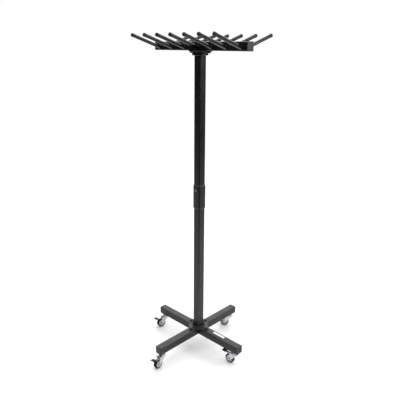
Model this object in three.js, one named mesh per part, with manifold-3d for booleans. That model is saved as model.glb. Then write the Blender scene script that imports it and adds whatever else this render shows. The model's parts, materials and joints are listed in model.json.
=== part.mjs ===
// Rolling clothing rack: a square post on a cross of four arms with casters,
// under one straight head bar that carries a row of rising pegs on each side.
// Millimetres, +Z up, floor at z = 0, post on the Z axis, head bar along X.
import * as THREE from "three";
import { mergeVertices } from "three/addons/utils/BufferGeometryUtils.js";
import Module from "manifold-3d";

const wasm = await Module();
wasm.setup();

// ---- driving dimensions -------------------------------------------------
// square tube shared by the arms, the post and the head bar
const TUBE = 40;
const TUBE_WALL = 1.5;
const TUBE_CORNER = 4;
const GAP = 0.3; // between pieces that fit into or stand against each other

// base
const CASTER_HEIGHT = 74;
const BASE_SPAN = 580;
const SWIVEL_RADIUS = 266; // from the post's axis to each caster's swivel axis
const CAP_FLANGE = 3;
const CAP_PLUG_DEPTH = 14;
const CAP_PLUG_WALL = 2;

// welded flange at each end of the post: a square plate and a short collar
const PLATE_SIZE = 105;
const PLATE_CORNER = 5;
const PLATE_THICK = 4;
const BOLT_RADIUS_OUT = 56; // from the post's axis to each bolt
const FOOT_COLLAR = 49;
const FOOT_COLLAR_HEIGHT = 24;
const HEAD_COLLAR = 57;
const HEAD_COLLAR_HEIGHT = 17;
const COLLAR_CORNER = 6;

// post
const ARM_TO_BAR = 1431; // top of the arms to the underside of the head bar
const ARM_TO_JOINT = 736; // top of the arms to where the two post tubes meet
const SLEEVE = 46;
const SLEEVE_LENGTH = 120;
const SLEEVE_CORNER = 6;
const SLEEVE_CLEARANCE = 0.4;
const SET_SCREW_DROP = 25; // from the sleeve's top edge

// head bar and pegs
const BAR_SPAN = 580;
const PEGS_PER_SIDE = 7;
const PEG_PITCH = 85;
const PEG_RADIUS = 8;
const PEG_RUN = 171; // how far a peg reaches out from the bar's side
const PEG_ANGLE = THREE.MathUtils.degToRad(17.5);
const PEG_ROOT_HEIGHT = 14; // peg axis above the bar's underside, at its side
const PEG_INSIDE = 10; // length of a peg past the side wall, inside the bar
const PEG_CAP_RADIUS = 8.5;
const PEG_CAP_LENGTH = 13;
const PEG_CAP_ROUND = 3;

// M8 fastenings
const BOLT_SHANK = 4;
const BOLT_HEAD = 7.5; // hexagon, centre to corner
const BOLT_HEAD_HEIGHT = 5.3;
const BOLT_LENGTH = 20;
const WASHER_RADIUS = 8.5;
const WASHER_THICK = 1.6;
const SCREW_HEAD = 7.5;
const SCREW_HEAD_HEIGHT = 5;
const SCREW_LENGTH = 14;
const SOCKET_RADIUS = 2.9;
const SOCKET_DEPTH = 3;

// caster: the wheel trails behind the swivel axis
const TRAIL = 32;
const WHEEL_RADIUS = 25;
const TYRE_WIDTH = 17;
const TYRE_INNER = 18.5;
const TYRE_SHOULDER = 3.5;
const WHEEL_SEGMENTS = 24;
const HUB_WIDTH = 20;
const HUB_RADIUS = 7.5;
const WEB_WIDTH = 8;
const RIM_LIP = 3;
const AXLE_RADIUS = 3;
const AXLE_CLEARANCE = 0.07;
const AXLE_HEAD = 5.6;
const AXLE_HEAD_WIDTH = 3.6;
const LEG_INNER = 10.8; // half the space between the fork's legs
const LEG_THICK = 2.2;
const LEG_END_RADIUS = 8;
const CROWN_RADIUS = 17;
const CROWN_BOTTOM = 59;
const CROWN_THICK = 3;
const STEM_RADIUS = 4.8;
const STEM_LENGTH = 26; // above the arm's underside
const STEM_FLANGE_RADIUS = 14;
const RACE_RADIUS = 16;
const RACE_HEIGHT = 8.5;
const KINGPIN_RADIUS = 4;
const KINGPIN_HEAD = 7;
const KINGPIN_HEAD_HEIGHT = 2.6;

// brake lever: hinged on a pin across the fork, above the wheel
const PIN_BACK = 21; // pin axis behind the swivel axis
const PIN_HEIGHT = 55.2;
const PIN_RADIUS = 1.7;
const KNUCKLE_RADIUS = 3.4;
const LEVER_THICK = 2;
const LEVER_HALF_WIDTH = 10.2;
const LEVER_REACH = 55; // from the pin to the lever's tip
const LEVER_ROOT_RISE = 1.2; // of its upper face above the pin, at the pin
const LEVER_TIP_RISE = 8; // and at the tip
const LEVER_STEPS = 8;
const PIN_OVERHANG = 2;
const FOOT_PAD_STEPS = 3; // how many of the lever's steps the foot pad takes
const FOOT_PAD_HALF_WIDTH = 13;

// where each wheel trails to at rest, as a heading in degrees from +X
const ARMS = [
  { name: "xpos", direction: 0, heading: 188 },
  { name: "ypos", direction: 90, heading: 230 },
  { name: "xneg", direction: 180, heading: 258 },
  { name: "yneg", direction: 270, heading: 276 },
];

// ---- sizes worked out from the above ------------------------------------
const ARM_BOTTOM = CASTER_HEIGHT;
const ARM_TOP = ARM_BOTTOM + TUBE;
const HUB_TOP = ARM_TOP + PLATE_THICK;
const BAR_BOTTOM = ARM_TOP + ARM_TO_BAR;
const HEAD_PLATE_BOTTOM = BAR_BOTTOM - PLATE_THICK;
const JOINT_HEIGHT = ARM_TOP + ARM_TO_JOINT;
const SLEEVE_BOTTOM = JOINT_HEIGHT - SLEEVE_LENGTH / 2;
const SLEEVE_TOP = JOINT_HEIGHT + SLEEVE_LENGTH / 2;
const TUBE_INNER = TUBE - 2 * TUBE_WALL;
const BORE_CORNER = TUBE_CORNER - TUBE_WALL;
const LEG_OUTER = LEG_INNER + LEG_THICK;
const CROWN_TOP = CROWN_BOTTOM + CROWN_THICK;

// ---- materials ----------------------------------------------------------
function material(color, roughness, metalness) {
  return new THREE.MeshStandardMaterial({ color, roughness, metalness });
}
const blackPaint = () => material(0x252628, 0.45, 0.3);
const blackPlastic = () => material(0x1a1a1b, 0.55, 0);
const blackSteel = () => material(0x1d1d1f, 0.4, 0.8);
const brightZinc = () => material(0xb9bcc0, 0.3, 0.95);
const greyNylon = () => material(0xc9cbcd, 0.5, 0);
const blackRubber = () => material(0x161616, 0.75, 0);

// ---- solids -------------------------------------------------------------
const rack = new THREE.Group();

function add(parent, name, geometry, look) {
  const mesh = new THREE.Mesh(geometry, look);
  mesh.name = name;
  parent.add(mesh);
  return mesh;
}

function toSolid(geometry) {
  const bare = geometry.clone();
  bare.deleteAttribute("normal");
  bare.deleteAttribute("uv");
  const merged = mergeVertices(bare, 1e-4);
  return new wasm.Manifold(
    new wasm.Mesh({
      numProp: 3,
      vertProperties: new Float32Array(merged.attributes.position.array),
      triVerts: new Uint32Array(merged.index.array),
    }),
  );
}

function toGeometry(solid) {
  const mesh = solid.getMesh();
  const geometry = new THREE.BufferGeometry();
  geometry.setAttribute("position", new THREE.BufferAttribute(mesh.vertProperties, 3));
  geometry.setIndex(new THREE.BufferAttribute(mesh.triVerts, 1));
  const faceted = geometry.toNonIndexed();
  faceted.computeVertexNormals();
  return faceted;
}

function join(...geometries) {
  return toGeometry(geometries.map(toSolid).reduce((sum, next) => sum.add(next)));
}

function cut(geometry, ...tools) {
  return toGeometry(tools.map(toSolid).reduce((rest, tool) => rest.subtract(tool), toSolid(geometry)));
}

// A square outline with rounded corners, centred on the origin.
function traceSquare(path, size, radius) {
  const half = size / 2;
  const reach = half - radius;
  path.moveTo(half, -reach);
  path.absarc(reach, reach, radius, 0, Math.PI / 2, false);
  path.absarc(-reach, reach, radius, Math.PI / 2, Math.PI, false);
  path.absarc(-reach, -reach, radius, Math.PI, 1.5 * Math.PI, false);
  path.absarc(reach, -reach, radius, 1.5 * Math.PI, 2 * Math.PI, false);
  return path;
}

function squareShape(size, radius, innerSize, innerRadius) {
  const shape = traceSquare(new THREE.Shape(), size, radius);
  if (innerSize) {
    shape.holes.push(traceSquare(new THREE.Path(), innerSize, innerRadius));
  }
  return shape;
}

function extrude(shape, depth, curveSegments = 2) {
  return new THREE.ExtrudeGeometry(shape, { depth, bevelEnabled: false, curveSegments });
}

// A straight square tube along Z, from z = 0 up.
function squareTube(length) {
  return extrude(squareShape(TUBE, TUBE_CORNER, TUBE_INNER, BORE_CORNER), length);
}

// The same tube laid along +X with its centreline on the X axis.
function layAlongX(geometry) {
  return geometry.rotateY(Math.PI / 2);
}

function rod(radius, length, segments = 12) {
  const cylinder = new THREE.CylinderGeometry(radius, radius, length, segments);
  return cylinder.rotateX(Math.PI / 2);
}

function crossRod(radius, length, segments = 12) {
  return new THREE.CylinderGeometry(radius, radius, length, segments);
}

// ---- base ---------------------------------------------------------------
// A hole through the arm's top wall for a bolt, or its bottom wall for a stem.
function wallHole(radius, x, z) {
  return rod(radius, 4 * TUBE_WALL).translate(x, 0, z);
}

function addArms() {
  const centre = ARM_BOTTOM + TUBE / 2;
  const longLength = BASE_SPAN - 2 * CAP_FLANGE;
  const long = layAlongX(squareTube(longLength)).translate(-longLength / 2, 0, centre);
  const holes = [-1, 1].flatMap((side) => [
    wallHole(BOLT_SHANK + GAP, side * BOLT_RADIUS_OUT, ARM_TOP),
    wallHole(STEM_RADIUS + GAP, side * SWIVEL_RADIUS, ARM_BOTTOM),
  ]);
  add(rack, "base_long_tube", cut(long, ...holes), blackPaint());

  const start = TUBE / 2 + GAP;
  const shortLength = longLength / 2 - start;
  for (const arm of ARMS.filter((each) => each.name.startsWith("y"))) {
    const short = layAlongX(squareTube(shortLength)).translate(start, 0, centre);
    const drilled = cut(
      short,
      wallHole(BOLT_SHANK + GAP, BOLT_RADIUS_OUT, ARM_TOP),
      wallHole(STEM_RADIUS + GAP, SWIVEL_RADIUS, ARM_BOTTOM),
    );
    const mesh = add(rack, `base_short_tube_${arm.name}`, drilled, blackPaint());
    mesh.rotation.z = THREE.MathUtils.degToRad(arm.direction);
  }
}

// A plastic plug with a flange as wide as the tube; +X faces out of the tube.
function endCap() {
  const plugSize = TUBE_INNER - 2 * GAP;
  const plug = squareShape(plugSize, BORE_CORNER, plugSize - 2 * CAP_PLUG_WALL, 1);
  const flange = squareShape(TUBE, TUBE_CORNER);
  return layAlongX(
    join(
      extrude(plug, CAP_PLUG_DEPTH + CAP_FLANGE / 2).translate(0, 0, -CAP_PLUG_DEPTH),
      extrude(flange, CAP_FLANGE),
    ),
  );
}

function addEndCaps() {
  for (const arm of ARMS) {
    const holder = new THREE.Group();
    holder.rotation.z = THREE.MathUtils.degToRad(arm.direction);
    rack.add(holder);
    const cap = add(holder, `arm_end_cap_${arm.name}`, endCap(), blackPlastic());
    cap.position.set(BASE_SPAN / 2 - CAP_FLANGE, 0, ARM_BOTTOM + TUBE / 2);
  }
  for (const arm of ARMS.filter((each) => each.name.startsWith("x"))) {
    const holder = new THREE.Group();
    holder.rotation.z = THREE.MathUtils.degToRad(arm.direction);
    rack.add(holder);
    const cap = add(holder, `bar_end_cap_${arm.name}`, endCap(), blackPlastic());
    cap.position.set(BAR_SPAN / 2 - CAP_FLANGE, 0, BAR_BOTTOM + TUBE / 2);
  }
}

// ---- flanges ------------------------------------------------------------
// A square plate turned so that its corners lie along X and Y.
function flangePlate(boltHoles) {
  const plate = extrude(squareShape(PLATE_SIZE, PLATE_CORNER), PLATE_THICK).rotateZ(Math.PI / 4);
  const tools = boltHoles.map(([x, y]) => rod(BOLT_SHANK + GAP, 3 * PLATE_THICK).translate(x, y, 0));
  return cut(plate, ...tools);
}

function collar(size, height) {
  const bore = TUBE + 2 * SLEEVE_CLEARANCE;
  return extrude(squareShape(size, COLLAR_CORNER, bore, TUBE_CORNER), height);
}

function addFlanges() {
  const alongX = [-1, 1].map((side) => [side * BOLT_RADIUS_OUT, 0]);
  const alongY = [-1, 1].map((side) => [0, side * BOLT_RADIUS_OUT]);
  const hub = add(rack, "hub_plate", flangePlate([...alongX, ...alongY]), blackPaint());
  hub.position.z = ARM_TOP;
  const foot = add(rack, "foot_collar", collar(FOOT_COLLAR, FOOT_COLLAR_HEIGHT), blackPaint());
  foot.position.z = HUB_TOP;
  const plate = add(rack, "head_plate", flangePlate(alongX), blackPaint());
  plate.position.z = HEAD_PLATE_BOTTOM;
  const head = add(rack, "head_collar", collar(HEAD_COLLAR, HEAD_COLLAR_HEIGHT), blackPaint());
  head.position.z = HEAD_PLATE_BOTTOM - HEAD_COLLAR_HEIGHT;
}

// Hexagon head, washer and shank in one; the underside of the washer at z = 0.
function hexBolt() {
  const head = rod(BOLT_HEAD, BOLT_HEAD_HEIGHT, 6).translate(0, 0, WASHER_THICK + BOLT_HEAD_HEIGHT / 2);
  const washer = rod(WASHER_RADIUS, WASHER_THICK, 24).translate(0, 0, WASHER_THICK / 2);
  const shank = rod(BOLT_SHANK, BOLT_LENGTH, 16).translate(0, 0, WASHER_THICK - BOLT_LENGTH / 2);
  return join(washer, head, shank);
}

function addHubBolts() {
  for (const arm of ARMS) {
    const angle = THREE.MathUtils.degToRad(arm.direction);
    const bolt = add(rack, `hub_bolt_${arm.name}`, hexBolt(), blackSteel());
    bolt.position.set(BOLT_RADIUS_OUT * Math.cos(angle), BOLT_RADIUS_OUT * Math.sin(angle), HUB_TOP);
    bolt.rotation.z = angle;
  }
}

// ---- post ---------------------------------------------------------------
function addPost() {
  const lower = add(rack, "lower_pole", squareTube(JOINT_HEIGHT - HUB_TOP - GAP / 2), blackPaint());
  lower.position.z = HUB_TOP;

  const screwHeight = SLEEVE_TOP - SET_SCREW_DROP;
  const sideHole = (base) =>
    crossRod(BOLT_SHANK + GAP, TUBE).translate(0, -TUBE / 2, screwHeight - base);

  const upperBottom = JOINT_HEIGHT + GAP / 2;
  const upperTube = squareTube(HEAD_PLATE_BOTTOM - upperBottom);
  const upper = add(rack, "upper_pole", cut(upperTube, sideHole(upperBottom)), blackPaint());
  upper.position.z = upperBottom;

  const bore = TUBE + 2 * SLEEVE_CLEARANCE;
  const sleeveTube = extrude(squareShape(SLEEVE, SLEEVE_CORNER, bore, TUBE_CORNER), SLEEVE_LENGTH);
  const sleeve = add(rack, "coupling_sleeve", cut(sleeveTube, sideHole(SLEEVE_BOTTOM)), blackPaint());
  sleeve.position.z = SLEEVE_BOTTOM;

  const screw = add(rack, "sleeve_screw", setScrew(), blackSteel());
  screw.position.set(0, -SLEEVE / 2, screwHeight);
}

// A socket-head screw pointing along +Y, with the underside of its head at y = 0.
function setScrew() {
  const head = crossRod(SCREW_HEAD, SCREW_HEAD_HEIGHT, 28).translate(0, -SCREW_HEAD_HEIGHT / 2, 0);
  const shank = crossRod(BOLT_SHANK, SCREW_LENGTH, 16).translate(0, SCREW_LENGTH / 2 - 1, 0);
  const socket = crossRod(SOCKET_RADIUS, 2 * SOCKET_DEPTH, 6).translate(0, -SCREW_HEAD_HEIGHT, 0);
  return cut(join(head, shank), socket);
}

// ---- head bar and pegs --------------------------------------------------
// Solid of revolution about +Z from [radius, height] pairs listed upwards.
function turned(profile, segments) {
  const points = profile.map(([radius, height]) => new THREE.Vector2(radius, height));
  return new THREE.LatheGeometry(points, segments).rotateX(Math.PI / 2);
}

function peg() {
  const length = PEG_INSIDE + PEG_RUN / Math.cos(PEG_ANGLE);
  const capStart = length - PEG_CAP_LENGTH;
  const capEnd = length - PEG_CAP_ROUND;
  const roundCorner = [1, 2, 3].map((step) => {
    const angle = (step * Math.PI) / 6;
    return [
      PEG_CAP_RADIUS - PEG_CAP_ROUND * (1 - Math.cos(angle)),
      capEnd + PEG_CAP_ROUND * Math.sin(angle),
    ];
  });
  return turned(
    [
      [0, 0],
      [PEG_RADIUS, 0],
      [PEG_RADIUS, capStart],
      [PEG_CAP_RADIUS, capStart + GAP],
      [PEG_CAP_RADIUS, capEnd],
      ...roundCorner,
      [0, length],
    ],
    12,
  );
}

// Turns a solid along +Z into one that leaves the bar's +Y side and rises.
function aimPeg(object, x) {
  object.rotation.x = PEG_ANGLE - Math.PI / 2;
  object.position.set(
    x,
    TUBE / 2 - PEG_INSIDE * Math.cos(PEG_ANGLE),
    BAR_BOTTOM + PEG_ROOT_HEIGHT - PEG_INSIDE * Math.sin(PEG_ANGLE),
  );
}

function pegHole(x) {
  const tool = new THREE.Mesh(rod(PEG_RADIUS + GAP, 2.5 * PEG_INSIDE).translate(0, 0, 1.25 * PEG_INSIDE));
  aimPeg(tool, x);
  tool.updateMatrix();
  return tool.geometry.applyMatrix4(tool.matrix);
}

function addHead() {
  const barLength = BAR_SPAN - 2 * CAP_FLANGE;
  const bar = layAlongX(squareTube(barLength)).translate(-barLength / 2, 0, BAR_BOTTOM + TUBE / 2);
  const stations = Array.from(
    { length: PEGS_PER_SIDE },
    (_, index) => (index - (PEGS_PER_SIDE - 1) / 2) * PEG_PITCH,
  );
  const boltHoles = [-1, 1].map((side) => wallHole(BOLT_SHANK + GAP, side * BOLT_RADIUS_OUT, BAR_BOTTOM));
  const pegHoles = stations.flatMap((x) => [pegHole(x), pegHole(x).rotateZ(Math.PI)]);
  add(rack, "head_bar", cut(bar, ...boltHoles, ...pegHoles), blackPaint());

  for (const side of ["ypos", "yneg"]) {
    const holder = new THREE.Group();
    holder.rotation.z = side === "ypos" ? 0 : Math.PI;
    rack.add(holder);
    stations.forEach((x, index) => {
      aimPeg(add(holder, `peg_${side}_${index + 1}`, peg(), blackPaint()), x);
    });
  }
}

// ---- casters ------------------------------------------------------------
// Each caster is built with its swivel axis on Z and its wheel trailing to -X.
function stem() {
  const raceTop = ARM_BOTTOM - CAP_FLANGE;
  const raceBottom = raceTop - RACE_HEIGHT;
  const headTop = CROWN_BOTTOM - GAP;
  return turned(
    [
      [0, headTop - KINGPIN_HEAD_HEIGHT],
      [KINGPIN_HEAD - 1, headTop - KINGPIN_HEAD_HEIGHT],
      [KINGPIN_HEAD, headTop - KINGPIN_HEAD_HEIGHT + 1],
      [KINGPIN_HEAD, headTop],
      [KINGPIN_RADIUS, headTop],
      [KINGPIN_RADIUS, raceBottom],
      [RACE_RADIUS - 1, raceBottom],
      [RACE_RADIUS, raceBottom + 1],
      [RACE_RADIUS, raceTop - 2.5],
      [STEM_FLANGE_RADIUS, raceTop],
      [STEM_FLANGE_RADIUS, ARM_BOTTOM - GAP],
      [STEM_RADIUS, ARM_BOTTOM - GAP],
      [STEM_RADIUS, ARM_BOTTOM + STEM_LENGTH - 1],
      [STEM_RADIUS - 1, ARM_BOTTOM + STEM_LENGTH],
      [0, ARM_BOTTOM + STEM_LENGTH],
    ],
    16,
  );
}

// One leg's outline in X and Z: wide at the crown, round about the axle.
function legShape() {
  const shape = new THREE.Shape();
  const lean = Math.atan2(CROWN_BOTTOM - WHEEL_RADIUS, TRAIL);
  const frontAngle = lean - Math.PI / 2;
  const backAngle = Math.PI;
  shape.moveTo(CROWN_RADIUS - 6, CROWN_TOP);
  shape.lineTo(-PIN_BACK - 7, CROWN_TOP);
  shape.lineTo(-PIN_BACK - 8.5, PIN_HEIGHT - 3);
  shape.absarc(-TRAIL, WHEEL_RADIUS, LEG_END_RADIUS, backAngle, 2 * Math.PI + frontAngle, false);
  shape.lineTo(CROWN_RADIUS - 5, CROWN_BOTTOM - 4);
  return shape;
}

// Extrudes an outline in X and Z along Y, from y = start to y = start + depth.
function extrudeAcross(shape, start, depth) {
  return extrude(shape, depth, 6)
    .rotateX(Math.PI / 2)
    .translate(0, start + depth, 0);
}

function fork() {
  const crownShape = new THREE.Shape();
  crownShape.absarc(0, 0, CROWN_RADIUS, -Math.PI / 2, Math.PI / 2, false);
  crownShape.lineTo(-PIN_BACK - 7, LEG_OUTER);
  crownShape.lineTo(-PIN_BACK - 7, -LEG_OUTER);
  const crown = extrude(crownShape, CROWN_THICK, 6).translate(0, 0, CROWN_BOTTOM);
  const legs = [-LEG_OUTER, LEG_INNER].map((start) => extrudeAcross(legShape(), start, LEG_THICK));
  const kingpinHole = rod(KINGPIN_RADIUS + GAP, 4 * CROWN_THICK).translate(0, 0, CROWN_BOTTOM);
  const axleHole = crossRod(AXLE_RADIUS + GAP, 4 * LEG_OUTER).translate(-TRAIL, 0, WHEEL_RADIUS);
  const pinHole = crossRod(PIN_RADIUS + GAP, 4 * LEG_OUTER, 16).translate(-PIN_BACK, 0, PIN_HEIGHT);
  return cut(join(crown, ...legs), kingpinHole, axleHole, pinHole);
}

// Bolt and nut with a hexagon at each end, along Y through the wheel's centre.
function axle() {
  const half = LEG_OUTER + GAP + AXLE_HEAD_WIDTH;
  const shank = crossRod(AXLE_RADIUS, 2 * half - 1, 24);
  const heads = [-1, 1].map((side) =>
    crossRod(AXLE_HEAD, AXLE_HEAD_WIDTH, 6).translate(0, side * (half - AXLE_HEAD_WIDTH / 2), 0),
  );
  return join(shank, ...heads);
}

// Solid ring about Y from [radius, height along Y] pairs that close on themselves.
function ring(profile, segments) {
  const points = [...profile, profile[0]].map(([radius, y]) => new THREE.Vector2(radius, y));
  return new THREE.LatheGeometry(points, segments);
}

function tyre() {
  const half = TYRE_WIDTH / 2;
  const shoulder = [0, 1, 2].map((step) => {
    const angle = (step * Math.PI) / 4;
    return [
      WHEEL_RADIUS - TYRE_SHOULDER * (1 - Math.sin(angle)),
      half - TYRE_SHOULDER * (1 - Math.cos(angle)),
    ];
  });
  const upper = [...shoulder.reverse(), [TYRE_INNER, half]];
  const lower = upper.map(([radius, y]) => [radius, -y]).reverse();
  return ring([...lower, ...upper], WHEEL_SEGMENTS);
}

function wheelCore() {
  const bore = AXLE_RADIUS + AXLE_CLEARANCE + 0.01;
  const rim = TYRE_INNER - GAP;
  const rimHalf = TYRE_WIDTH / 2 - 0.5;
  const hubHalf = HUB_WIDTH / 2;
  const webHalf = WEB_WIDTH / 2;
  const upper = [
    [rim, rimHalf],
    [rim - RIM_LIP, rimHalf],
    [rim - RIM_LIP - 1, webHalf],
    [HUB_RADIUS + 1, webHalf],
    [HUB_RADIUS, hubHalf],
    [bore, hubHalf],
  ];
  const lower = upper.map(([radius, y]) => [radius, -y]).reverse();
  return ring([...lower, ...upper], WHEEL_SEGMENTS);
}

// A bent strip from the pin out over the wheel, with a wider foot pad.
function lever() {
  const rootHeight = PIN_HEIGHT + LEVER_ROOT_RISE;
  const upperEdge = new THREE.QuadraticBezierCurve(
    new THREE.Vector2(-PIN_BACK, rootHeight),
    new THREE.Vector2(-PIN_BACK - LEVER_REACH / 2, rootHeight),
    new THREE.Vector2(-PIN_BACK - LEVER_REACH, PIN_HEIGHT + LEVER_TIP_RISE),
  ).getPoints(LEVER_STEPS);
  const strip = stripUnder(upperEdge, LEVER_THICK);
  const pad = stripUnder(upperEdge.slice(-1 - FOOT_PAD_STEPS), LEVER_THICK);
  const knuckle = crossRod(KNUCKLE_RADIUS, 2 * LEVER_HALF_WIDTH).translate(-PIN_BACK, 0, PIN_HEIGHT);
  const pin = crossRod(PIN_RADIUS, 2 * LEG_OUTER + PIN_OVERHANG).translate(-PIN_BACK, 0, PIN_HEIGHT);
  return join(
    extrudeAcross(strip, -LEVER_HALF_WIDTH, 2 * LEVER_HALF_WIDTH),
    extrudeAcross(pad, -FOOT_PAD_HALF_WIDTH, 2 * FOOT_PAD_HALF_WIDTH),
    knuckle,
    pin,
  );
}

// The outline of a strip whose upper edge follows the given points.
function stripUnder(points, thick) {
  const under = points.map((point) => new THREE.Vector2(point.x, point.y - thick)).reverse();
  return new THREE.Shape([...points, ...under]);
}

function addCasters() {
  for (const arm of ARMS) {
    const direction = THREE.MathUtils.degToRad(arm.direction);
    const caster = new THREE.Group();
    caster.position.set(SWIVEL_RADIUS * Math.cos(direction), SWIVEL_RADIUS * Math.sin(direction), 0);
    caster.rotation.z = THREE.MathUtils.degToRad(arm.heading) - Math.PI;
    rack.add(caster);
    add(caster, `caster_stem_${arm.name}`, stem(), brightZinc());
    add(caster, `caster_fork_${arm.name}`, fork(), brightZinc());
    const wheel = new THREE.Group();
    wheel.position.set(-TRAIL, 0, WHEEL_RADIUS);
    caster.add(wheel);
    add(wheel, `caster_axle_${arm.name}`, axle(), brightZinc());
    add(wheel, `caster_tyre_${arm.name}`, tyre(), blackRubber());
    add(wheel, `caster_core_${arm.name}`, wheelCore(), greyNylon());
    add(caster, `brake_lever_${arm.name}`, lever(), brightZinc());
  }
}

addArms();
addEndCaps();
addFlanges();
addHubBolts();
addPost();
addHead();
addCasters();

export default rack;
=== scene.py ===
"""Looks of the rolling peg rack: materials, detailed pieces, studio and camera.

Metres, in the CAD frame: +Z up, floor at z = 0, post on the Z axis, head bar along X.
"""

import json
import math

import bmesh
import bpy
from mathutils import Matrix, Vector, noise


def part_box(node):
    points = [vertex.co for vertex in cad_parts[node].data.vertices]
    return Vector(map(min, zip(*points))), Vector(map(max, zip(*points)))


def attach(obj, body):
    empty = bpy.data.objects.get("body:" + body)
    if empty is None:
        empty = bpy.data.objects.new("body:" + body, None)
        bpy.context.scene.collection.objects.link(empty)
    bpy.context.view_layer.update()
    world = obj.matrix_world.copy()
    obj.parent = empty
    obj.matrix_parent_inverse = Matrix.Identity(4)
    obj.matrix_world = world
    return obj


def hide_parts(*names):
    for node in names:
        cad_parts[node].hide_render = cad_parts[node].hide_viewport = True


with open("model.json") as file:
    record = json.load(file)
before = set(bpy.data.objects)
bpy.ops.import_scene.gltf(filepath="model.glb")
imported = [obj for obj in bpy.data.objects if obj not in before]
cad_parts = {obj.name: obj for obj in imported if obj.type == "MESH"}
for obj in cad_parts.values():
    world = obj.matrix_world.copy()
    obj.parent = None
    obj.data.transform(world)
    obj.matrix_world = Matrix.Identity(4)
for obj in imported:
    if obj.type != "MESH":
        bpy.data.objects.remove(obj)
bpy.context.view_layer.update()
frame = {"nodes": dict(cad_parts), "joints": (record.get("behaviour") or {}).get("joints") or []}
scene = bpy.context.scene
NODES = frame["nodes"]
JOINTS = {joint["name"]: joint for joint in frame["joints"]}
MM = 0.001

ARMS = ("xpos", "ypos", "xneg", "yneg")
PEG_SIDES = ("ypos", "yneg")
PEGS_PER_SIDE = 7
BEVEL_SEGMENTS = 3


# ---- node helpers --------------------------------------------------------
class Shader:
    """A material's node tree, with short calls for the nodes used here."""

    def __init__(self, name):
        self.material = bpy.data.materials.new(name)
        self.material.use_nodes = True
        self.tree = self.material.node_tree
        self.surface = self.tree.nodes["Principled BSDF"]
        self.coords = self.tree.nodes.new("ShaderNodeTexCoord").outputs["Object"]

    def node(self, kind, **settings):
        made = self.tree.nodes.new(kind)
        for key, value in settings.items():
            setattr(made, key, value)
        return made

    def link(self, source, target):
        self.tree.links.new(source, target)

    def noise(self, scale, detail=3.0, roughness=0.5, stretch=None):
        """A noise's value, 0 to 1, with scale in features per metre."""
        coords = self.coords
        if stretch:
            mapping = self.node("ShaderNodeMapping")
            mapping.inputs["Scale"].default_value = stretch
            self.link(coords, mapping.inputs["Vector"])
            coords = mapping.outputs["Vector"]
        texture = self.node("ShaderNodeTexNoise")
        texture.inputs["Scale"].default_value = scale
        texture.inputs["Detail"].default_value = detail
        texture.inputs["Roughness"].default_value = roughness
        self.link(coords, texture.inputs["Vector"])
        return texture.outputs["Fac"]

    def cells(self, scale):
        texture = self.node("ShaderNodeTexVoronoi")
        texture.inputs["Scale"].default_value = scale
        self.link(self.coords, texture.inputs["Vector"])
        return texture.outputs["Distance"]

    def span(self, value, low, high, out_low=0.0, out_high=1.0):
        """Maps value from low..high to out_low..out_high, held at the ends."""
        node = self.node("ShaderNodeMapRange")
        node.inputs["From Min"].default_value = low
        node.inputs["From Max"].default_value = high
        node.inputs["To Min"].default_value = out_low
        node.inputs["To Max"].default_value = out_high
        self.link(value, node.inputs["Value"])
        return node.outputs["Result"]

    def math(self, operation, first, second):
        node = self.node("ShaderNodeMath", operation=operation)
        for socket, value in zip(node.inputs, (first, second)):
            if isinstance(value, (int, float)):
                socket.default_value = value
            else:
                self.link(value, socket)
        return node.outputs["Value"]

    def mix(self, factor, first, second):
        """Mixes two colours, each given as (r, g, b) or as a socket."""
        node = self.node("ShaderNodeMix", data_type="RGBA")
        self.link(factor, node.inputs["Factor"])
        for socket, value in ((node.inputs["A"], first), (node.inputs["B"], second)):
            if isinstance(value, tuple):
                socket.default_value = (*value, 1.0)
            else:
                self.link(value, socket)
        return node.outputs["Result"]

    def facing_up(self):
        """1 where the surface faces up, 0 on its sides."""
        normal = self.node("ShaderNodeNewGeometry").outputs["Normal"]
        split = self.node("ShaderNodeSeparateXYZ")
        self.link(normal, split.inputs["Vector"])
        return self.span(split.outputs["Z"], 0.5, 0.95)

    def bump(self, *layers):
        """Stacks (height socket, strength, depth in metres) bumps on the surface."""
        below = None
        for height, strength, depth in layers:
            node = self.node("ShaderNodeBump")
            node.inputs["Strength"].default_value = strength
            node.inputs["Distance"].default_value = depth
            self.link(height, node.inputs["Height"])
            if below:
                self.link(below, node.inputs["Normal"])
            below = node.outputs["Normal"]
        self.link(below, self.surface.inputs["Normal"])

    def set(self, **values):
        for key, value in values.items():
            socket = self.surface.inputs[key.replace("_", " ")]
            if isinstance(value, bpy.types.NodeSocket):
                self.link(value, socket)
            elif isinstance(value, tuple):
                socket.default_value = (*value, 1.0)
            else:
                socket.default_value = value


# ---- materials -----------------------------------------------------------
def powder_coat(name, smoothest, roughest):
    """Satin black powder coat: orange peel, fine grit, and paler, rougher patches on upward faces as
    painted light from above.
    """
    s = Shader(name)
    cloud = s.noise(9, 4)
    colour = s.mix(s.span(cloud, 0.3, 0.7), (0.0028, 0.0032, 0.0039), (0.0054, 0.0060, 0.0070))
    # paler patches on upward faces only: painted light from above
    pale_patches = s.math("MULTIPLY", s.facing_up(), s.span(s.noise(55, 6, 0.65), 0.35, 0.75, 0.01, 0.08))
    s.set(Base_Color=s.mix(pale_patches, colour, (0.22, 0.215, 0.205)))
    peel = s.noise(750, 2, 0.4)
    grit = s.cells(2600)
    wear = s.span(s.noise(24, 5, 0.6), 0.3, 0.75, smoothest, roughest)
    s.set(Roughness=s.math("ADD", wear, s.math("MULTIPLY", pale_patches, 0.8)))
    s.set(Specular_IOR_Level=0.38, Coat_Weight=0.06, Coat_Roughness=0.22)
    s.bump((peel, 0.22, 0.25 * MM), (grit, 0.10, 0.05 * MM))
    return s.material


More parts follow.
